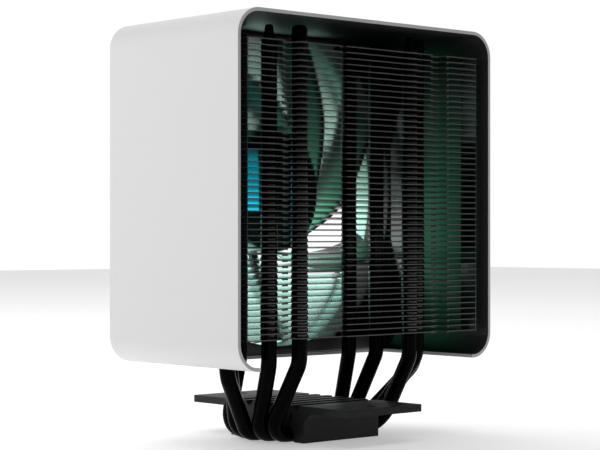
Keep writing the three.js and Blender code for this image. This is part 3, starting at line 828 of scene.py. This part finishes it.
def make_fins():
    blank = fin_blank()
    bv = [(v.co.x / MM, v.co.y / MM, v.co.z / MM) for v in blank.vertices]
    bf, bmat = [], []
    for p in blank.polygons:
        bf.append(tuple(p.vertices))
        # the sheet's cut edge is bare and lighter
        bmat.append(0 if abs(p.normal.z) > 0.5 else 1)
    bpy.data.meshes.remove(blank)
    y0, y1, w = FIN_LO.y, FIN_HI.y, FIN_HI.x
    for pack in range(5):
        verts, faces, mats = [], [], []
        for k in range(10):
            i = pack * 10 + k
            z = FIN_Z0 + 0.2 + i * FIN_PITCH
            b = len(verts)
            verts += [(x, y, zz + z) for x, y, zz in bv]
            faces += [tuple(b + j for j in f) for f in bf]
            mats += bmat
            # drawn collars round the pipes
            for lx, ly, _ in LEGS:
                for s in (-1, 1):
                    n = 20
                    b = len(verts)
                    r0, r1 = PIPE_R + 0.06, PIPE_R + 0.24
                    for r, zz in ((r1 + 0.22, FIN_T / 2 - 0.02), (r1, FIN_T / 2 + 0.2), (r1, 1.15), (r0, 1.15), (r0, -FIN_T / 2)):
                        verts += [(s * lx + r * math.cos(2 * math.pi * j / n), ly + r * math.sin(2 * math.pi * j / n), z + zz) for j in range(n)]
                    for q in range(5):
                        p = (q + 1) % 5
                        for j in range(n):
                            m = (j + 1) % n
                            faces.append((b + q * n + j, b + q * n + m, b + p * n + m, b + p * n + j))
                            mats.append(0)
            # folded side edges, near both ends of each side
            for s in (-1, 1):
                for ya, yb in ((y0 + 0.7, y0 + 8.5), (y1 - 8.5, y1 - 0.7)):
                    xa, xb = sorted((s * (w - 0.02), s * (w - 0.42)))
                    if k == 9 and pack == 4:
                        continue
                    box_faces(verts, faces, mats, xa, ya, z + FIN_T / 2 - 0.05, xb, yb, z + FIN_PITCH - FIN_T / 2 - 0.12, 0)
                # lock tabs in the floor of the exhaust recess
                xa, xb = sorted((s * 37.6, s * 40.3))
                box_faces(verts, faces, mats, xa, y0 + 3.9, z - FIN_T / 2 - 0.55, xb, y0 + 4.25, z + FIN_T / 2 - 0.03, 0)
                # hooked tab beside the recess
                xa, xb = sorted((s * 42.6, s * 43.3))
                box_faces(verts, faces, mats, xa, y0 + 0.02, z - FIN_T / 2 - 0.45, xb, y0 + 0.9, z + FIN_T / 2 - 0.03, 1)
        me = bpy.data.meshes.new(f"fins_{pack + 1}")
        me.from_pydata([(x * MM, y * MM, z * MM) for x, y, z in verts], [], faces)
        me.materials.append(M_FIN)
        me.materials.append(M_FIN_EDGE)
        me.polygons.foreach_set("material_index", mats)
        o = bpy.data.objects.new(f"fins_{pack + 1}", me)
        scene.collection.objects.link(o)
        shade(o, 35)
        place(o, "heatsink", [f"fin_pack_{pack + 1}"])


make_fins()


# ---------------------------------------------------------------- base block
def make_base():
    hx = BASE_HI.x
    wing = BASE_HI.y
    top = BASE_HI.z
    hy, step, wz, hay = 21.2, 7.8, 11.2, 24.9
    chan_y, chan_z = 15.6, 6.0
    half = [(chan_y, 0), (hy, 0), (hy, step), (hay - 1.2, wz - 1.1), (hay, wz - 0.25), (hay + 1.2, wz), (wing, wz), (wing, top)]
    ridges = []
    pitch = 6.85
    for k in range(6):
        y = (k - 2.5) * pitch
        ridges = [(y + 1.9, top), (y + 1.35, top - 1.05), (y + 0.7, top - 1.6), (y - 0.7, top - 1.6), (y - 1.35, top - 1.05), (y - 1.9, top)] + ridges
    scallop = []
    # roof of the pipe channel follows the five pipes
    for k in range(5):
        y = (k - 2) * PIPE_PITCH
        for j in range(9):
            a = math.pi - math.pi * j / 8
            scallop.append((y + 3.03 * math.cos(a), 2.85 + 3.15 * math.sin(a)))
    left = [(-a, b) for a, b in reversed(half)]
    outline = half + ridges + left + [(-chan_y, 2.4)] + scallop + [(chan_y, 2.4)]
    o = prism("base", outline, -hx, hx, "X", [M_BASE])
    cutters = []
    for s in (-1, 1):
        cutters.append(prism("c", circle(0, s * 37.5, 2.0, 32), 9, 16, "Z", [M_BASE]))
        xa, xb = sorted((s * (hx - 1.2), s * (hx + 1)))
        cutters.append(prism("c", rrect(xa, -14.9, xb, -13.2, 0.3, 3), 8.2, 10.9, "Z", [M_BASE]))
    cut(o, cutters)
    bevel(o, 0.22, 2, 50.0, apply=False)
    apply_mods(o)
    shade(o, 20)
    return place(o, "heatsink", ["base_block"])


make_base()


# ----------------------------------------------------------------- fan frame
SCREWS = [(a * 58.8, AZ + b * 57.4) for a, b in ((-1, -1), (1, -1), (1, 1), (-1, 1))]
SEAT_R = 21.0


def make_frame():
    n = 160
    hw, hh = FR_HI.x, (FR_HI.z - FR_LO.z) / 2
    r = 8.4

    def outer(a, inset=0.0):
        # point of the rounded rectangle in direction a
        c, s = math.cos(a), math.sin(a)
        w, h, rr = hw - inset, hh - inset, r - inset
        t = min(w / abs(c) if abs(c) > 1e-9 else 1e9, h / abs(s) if abs(s) > 1e-9 else 1e9)
        x, z = c * t, s * t
        cx, cz = w - rr, h - rr
        if abs(x) > cx and abs(z) > cz:
            # on the corner's arc: solve along the ray
            qx, qz = math.copysign(cx, x), math.copysign(cz, z)
            b = c * qx + s * qz
            k = b + math.sqrt(max(b * b - (qx * qx + qz * qz - rr * rr), 0))
            x, z = c * k, s * k
        return x, AZ + z
    angs = [2 * math.pi * (i + 0.5) / n for i in range(n)]
    rings = []
    # (kind, value, y): outer loops by inset, circles by radius
    prof = [("o", 0.35, FY0), ("o", 0.0, FY0 + 0.35), ("o", 0.0, FY1 - 0.5), ("o", 0.5, FY1),
            ("c", BORE_R + 1.0, FY1), ("c", BORE_R + 0.3, FY1 - 0.3), ("c", BORE_R, FY1 - 0.9), ("c", BORE_R, 34.7), ("c", 62.3, 34.55),
            ("c", 62.3, 24.1), ("c", BORE_R, 24.0), ("c", BORE_R, FY0 + 1.4), ("c", BORE_R + 0.3, FY0 + 0.5), ("c", BORE_R + 1.2, FY0)]
    verts, faces = [], []
    for kind, val, y in prof:
        row = []
        for a in angs:
            x, z = outer(a, val) if kind == "o" else (val * math.cos(a), AZ + val * math.sin(a))
            row.append(len(verts))
            verts.append((x, y, z))
        rings.append(row)
    m = len(rings)
    for k in range(m):
        ra, rb = rings[k], rings[(k + 1) % m]
        for i in range(n):
            j = (i + 1) % n
            faces.append((ra[i], ra[j], rb[j], rb[i]))
    body = obj_from("frame_body", verts, faces, [M_FRAME])
    cutters = []
    for x, z in SCREWS:
        sx, sz = math.copysign(1, x), math.copysign(1, z - AZ)
        cutters.append(prism("c", circle(x, z, 1.9, 24), FY0 - 2, FY1 + 2, "Y", [M_FRAME]))
        cutters.append(prism("c", circle(x, z, 3.6, 32), FY1 - 2.4, FY1 + 2, "Y", [M_FRAME]))
        cutters.append(prism("c", circle(x - sx * 0.2, z - sz * 0.2, 3.8, 8, math.pi / 8), FY0 - 2, FY0 + 1.0, "Y", [M_FRAME]))
    cut(body, cutters)
    bevel(body, 0.18, 2, 55.0)
    # struts: swept bars with a rounded section, from the seat to the ring
    parts = [body]
    for k in range(4):
        a0 = k * math.pi / 2 - 1.4
        sec = [(-1.7, 0.0), (-2.0, 0.5), (-1.6, 2.4), (-0.8, 3.0), (0.8, 3.0), (1.6, 2.4), (2.0, 0.5), (1.7, 0.0)]
        steps = 14
        rows = []
        vs, fs = [], []
        for q in range(steps + 1):
            f = q / steps
            rr = SEAT_R - 1.5 + (BORE_R + 0.8 - SEAT_R + 1.5) * f
            a = a0 + 0.2 * f
            p = Vector((rr * math.cos(a), rr * math.sin(a)))
            da = 1e-3
            f2 = f + da
            rr2 = SEAT_R - 1.5 + (BORE_R + 0.8 - SEAT_R + 1.5) * f2
            a2 = a0 + 0.2 * f2
            t = (Vector((rr2 * math.cos(a2), rr2 * math.sin(a2))) - p).normalized()
            nn = Vector((-t.y, t.x))
            row = []
            for u, h in sec:
                row.append(len(vs))
                vs.append((p.x + nn.x * u, FY1 - 0.05 - h * 0.8, AZ + p.y + nn.y * u))
            rows.append(row)
        for ra, rb in zip(rows, rows[1:]):
            for i in range(len(sec)):
                j = (i + 1) % len(sec)
                fs.append((ra[i], ra[j], rb[j], rb[i]))
        fs.append(tuple(rows[0]))
        fs.append(tuple(reversed(rows[-1])))
        parts.append(obj_from(f"strut{k}", vs, fs, [M_FRAME]))
    # motor seat with a raised rim and the bearing post
    seat = turned("seat", [(0, FY1 - 0.6), (16.2, FY1 - 0.6), (16.5, FY1 - 0.35), (16.9, FY1 - 0.05), (19.9, FY1 - 0.05), (20.4, FY1 - 0.3), (20.6, FY1 - 0.9),
                           (20.6, FY1 - 2.0), (20.2, FY1 - 2.35), (5.6, FY1 - 2.35), (4.9, FY1 - 2.9), (4.9, 21.9),
                           (3.6, 21.9), (3.6, FY1 - 1.25), (0, FY1 - 1.25)], [M_FRAME], 96, closed=False)
    parts.append(seat)
    o = join(parts, "fan_body")
    flat_normals(o, 40)
    return place(o, "shroud", ["fan_frame"])


make_frame()

# light ring: milky ring in the frame's bore, with a soft lip at the intake face
ring = turned("light_guide", [(60.3, 26.5), (60.6, 26.3), (61.9, 26.3), (61.95, 34.1), (61.6, 34.3), (60.6, 34.3), (60.25, 33.9), (60.2, 33.2), (60.2, 27.0)], [M_GLOW], 160)
place(ring, "shroud", ["light_ring"])


# ------------------------------------------------------------------- screws
def make_screw(i, x, z):
    y = FY1 - 2.1
    head = turned(f"screw_{i}", [(0, y - 19.9), (0.7, y - 19.4), (1.25, y - 18.4), (1.4, y - 17.0), (1.5, y - 0.5), (1.6, y), (3.0, y), (3.1, y + 0.12),
                                 (3.08, y + 0.75), (2.7, y + 1.3), (2.0, y + 1.65), (1.0, y + 1.82), (0, y + 1.86)], [M_SCREW], 32, centre=(x, z), closed=False)
    cutters = []
    for k in range(2):
        a = k * math.pi / 2 + 0.4 * (i + 1)
        c, s = math.cos(a), math.sin(a)
        pts = [(x + u * c - v * s, z + u * s + v * c) for u, v in ((-1.7, -0.32), (1.7, -0.32), (1.7, 0.32), (-1.7, 0.32))]
        cutters.append(prism("c", pts, y + 0.8, y + 3, "Y", [M_SCREW]))
    cut(head, cutters)
    bevel(head, 0.06, 1, 60.0)
    return place(head, "shroud", [f"fan_screw_{i + 1}"])


for i, (x, z) in enumerate(SCREWS):
    make_screw(i, x, z)


# ------------------------------------------------------------------ impeller
BLADES = 7
EDGE = [(22.0, -52.0), (24.0, -37.0), (26.0, -28.5), (31.0, -14.5), (36.3, -3.0), (42.0, 6.5), (48.0, 15.0), (53.0, 20.5), (58.6, 26.0)]
HUB_R, HUB_Y0, HUB_Y1 = 22.8, 16.2, 33.4


def lerp_table(tab, x):
    if x <= tab[0][0]:
        return tab[0][1] + (tab[1][1] - tab[0][1]) * (x - tab[0][0]) / (tab[1][0] - tab[0][0]) * 0.6
    for (a, u), (b, v) in zip(tab, tab[1:]):
        if x <= b:
            return u + (v - u) * (x - a) / (b - a)
    (a, u), (b, v) = tab[-2:]
    return v + (v - u) * (x - b) / (b - a)


def smooth_table(tab, x, w=1.4):
    return sum(lerp_table(tab, x + d * w) for d in (-1, -0.5, 0, 0.5, 1)) / 5


def make_impeller():
    y0, y1 = HUB_Y0, HUB_Y1
    prof = [(0, y0 + 0.85), (13.9, y0 + 0.85), (14.2, y0 + 0.7), (14.3, y0 + 0.12), (14.6, y0)]
    prof += [(HUB_R - 2.2 + 2.2 * math.sin(a), y0 + 2.2 - 2.2 * math.cos(a)) for a in [math.pi / 2 * k / 6 for k in range(7)]]
    prof += [(HUB_R, y1 - 0.4), (HUB_R - 0.3, y1), (19.9, y1), (19.6, y1 - 0.3), (19.6, y0 + 1.85), (0, y0 + 1.85)]
    hub = turned("hub", prof, [M_HUB_PAINTED_LIGHT], 96, closed=False)
    parts = [hub]
    ns, nc = 30, 14
    for b in range(BLADES):
        verts, faces, uvs = [], [], []
        base = 2 * math.pi * b / BLADES
        for s in range(ns + 1):
            f = s / ns
            r = HUB_R - 0.5 + (58.6 - HUB_R + 0.5) * f
            edge = math.radians(smooth_table(EDGE, r))
            span = 0.40 - 0.44 * f + 0.22 * f * f
            ya = max(17.6 - 8.0 * f, 14.5) + 0.25 * math.sin(math.pi * f)
            yb = 30.4 - 1.4 * f
            for side in (-1, 1):
                for c in range(nc + 1):
                    g = c / nc
                    # blade section: thin, thickest a third of the way from the inlet edge
                    thick = (1.7 - 0.8 * f) * (0.35 + 0.65 * math.sin(math.pi * min(max(0.1 + 0.82 * g, 0), 1)))
                    camber = math.sin(math.pi * g) * (2.2 - 0.7 * f)
                    a = base + edge + span * g
                    y = ya + (yb - ya) * g - camber * 0.6
                    if c in (0, nc):
                        thick *= 0.6
                    verts.append((r * math.cos(a), y + side * thick / 2, AZ + r * math.sin(a)))
                    uvs.append((g, f))
        row = 2 * (nc + 1)

        def vid(s, side, c):
            return s * row + side * (nc + 1) + c
        for s in range(ns):
            for c in range(nc):
                faces.append((vid(s, 0, c), vid(s + 1, 0, c), vid(s + 1, 0, c + 1), vid(s, 0, c + 1)))
                faces.append((vid(s, 1, c), vid(s, 1, c + 1), vid(s + 1, 1, c + 1), vid(s + 1, 1, c)))
            faces.append((vid(s, 0, 0), vid(s, 1, 0), vid(s + 1, 1, 0), vid(s + 1, 0, 0)))
            faces.append((vid(s, 0, nc), vid(s + 1, 0, nc), vid(s + 1, 1, nc), vid(s, 1, nc)))
        for e in (0, ns):
            for c in range(nc):
                faces.append((vid(e, 0, c), vid(e, 0, c + 1), vid(e, 1, c + 1), vid(e, 1, c)))
        o = obj_from(f"blade{b}", verts, faces, [M_BLADE_PAINTED_LIGHT], 60)
        lay = o.data.uv_layers.new(name="chord")
        for lp in o.data.loops:
            lay.data[lp.index].uv = uvs[lp.vertex_index]
        parts.append(o)
    o = join(parts, "fan_wheel")
    shade(o, 55)
    return place(o, "fan_rotor", ["impeller"])


make_impeller()
cap = turned("cap_disc", [(0, 16.7), (13.5, 16.7), (13.65, 16.6), (13.65, 16.05), (13.3, 15.78), (12.4, 15.72), (4.0, 15.75), (0, 15.75)], [M_CAP_PAINTED_LIGHT], 96, closed=False)
place(cap, "fan_rotor", ["hub_cap"])

# ------------------------------------------------ CAD nodes that stay as made
for node, m in {"led_board": M_BOARD, "motor_board": M_BOARD, "bearing_sleeve": M_BRASS, "stator_core": M_STEEL, "rotor_yoke": M_STEEL, "shaft": M_STEEL,
                "magnet_ring": M_FERRITE, "lock_clip": M_CLIP, **{f"stator_coil_{k}": M_COIL for k in range(1, 5)},
                **{f"corner_pad_{k}": M_RUBBER for k in range(1, 5)}}.items():
    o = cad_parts[node]
    for s in o.material_slots:
        s.link = "OBJECT"
        s.material = m
    if not o.material_slots:
        o.data.materials.append(m)

# --------------------------------------------------------------------- light
area("key_left", (-0.95, 1.25, 0.45), (0, 0, 0.08), (0.7, 1.5), 8.7)
area("left_fill", (-1.6, -0.1, 0.9), (0, 0, 0.12), (0.7, 0.7), 1.3)
area("top_soft", (-0.1, 0.3, 1.4), (0, 0, 0.1), (1.6, 1.6), 9.0)
area("front_strip", (0.5, -1.3, 0.5), (0, 0, 0.08), (0.2, 1.2), 0.35)


def fan_light(name, x, z, w, h, color, power, y=38.6):
    """The fan's own light: a soft panel behind the blades, seen only as it falls on the parts and in their gloss."""
    d = bpy.data.lights.new(name, "AREA")
    d.energy = power
    d.shape = "ELLIPSE"
    d.size, d.size_y = w * MM, h * MM
    d.color = color
    o = bpy.data.objects.new(name, d)
    o.location = (x * MM, y * MM, z * MM)
    o.rotation_euler = (math.pi / 2, 0, math.pi)
    o.rotation_euler = Vector((0, -1, 0)).to_track_quat("-Z", "Z").to_euler()
    o.visible_camera = False
    scene.collection.objects.link(o)


fan_light("fan_glow_upper", 14, AZ + 24, 84, 58, (0.24, 0.95, 0.64), 0.012)
fan_light("fan_glow_left", -34, AZ + 6, 44, 96, (0.10, 0.85, 0.88), 0.024)
fan_light("fan_glow_lower", 4, AZ - 34, 96, 44, (0.22, 0.95, 0.72), 0.011)
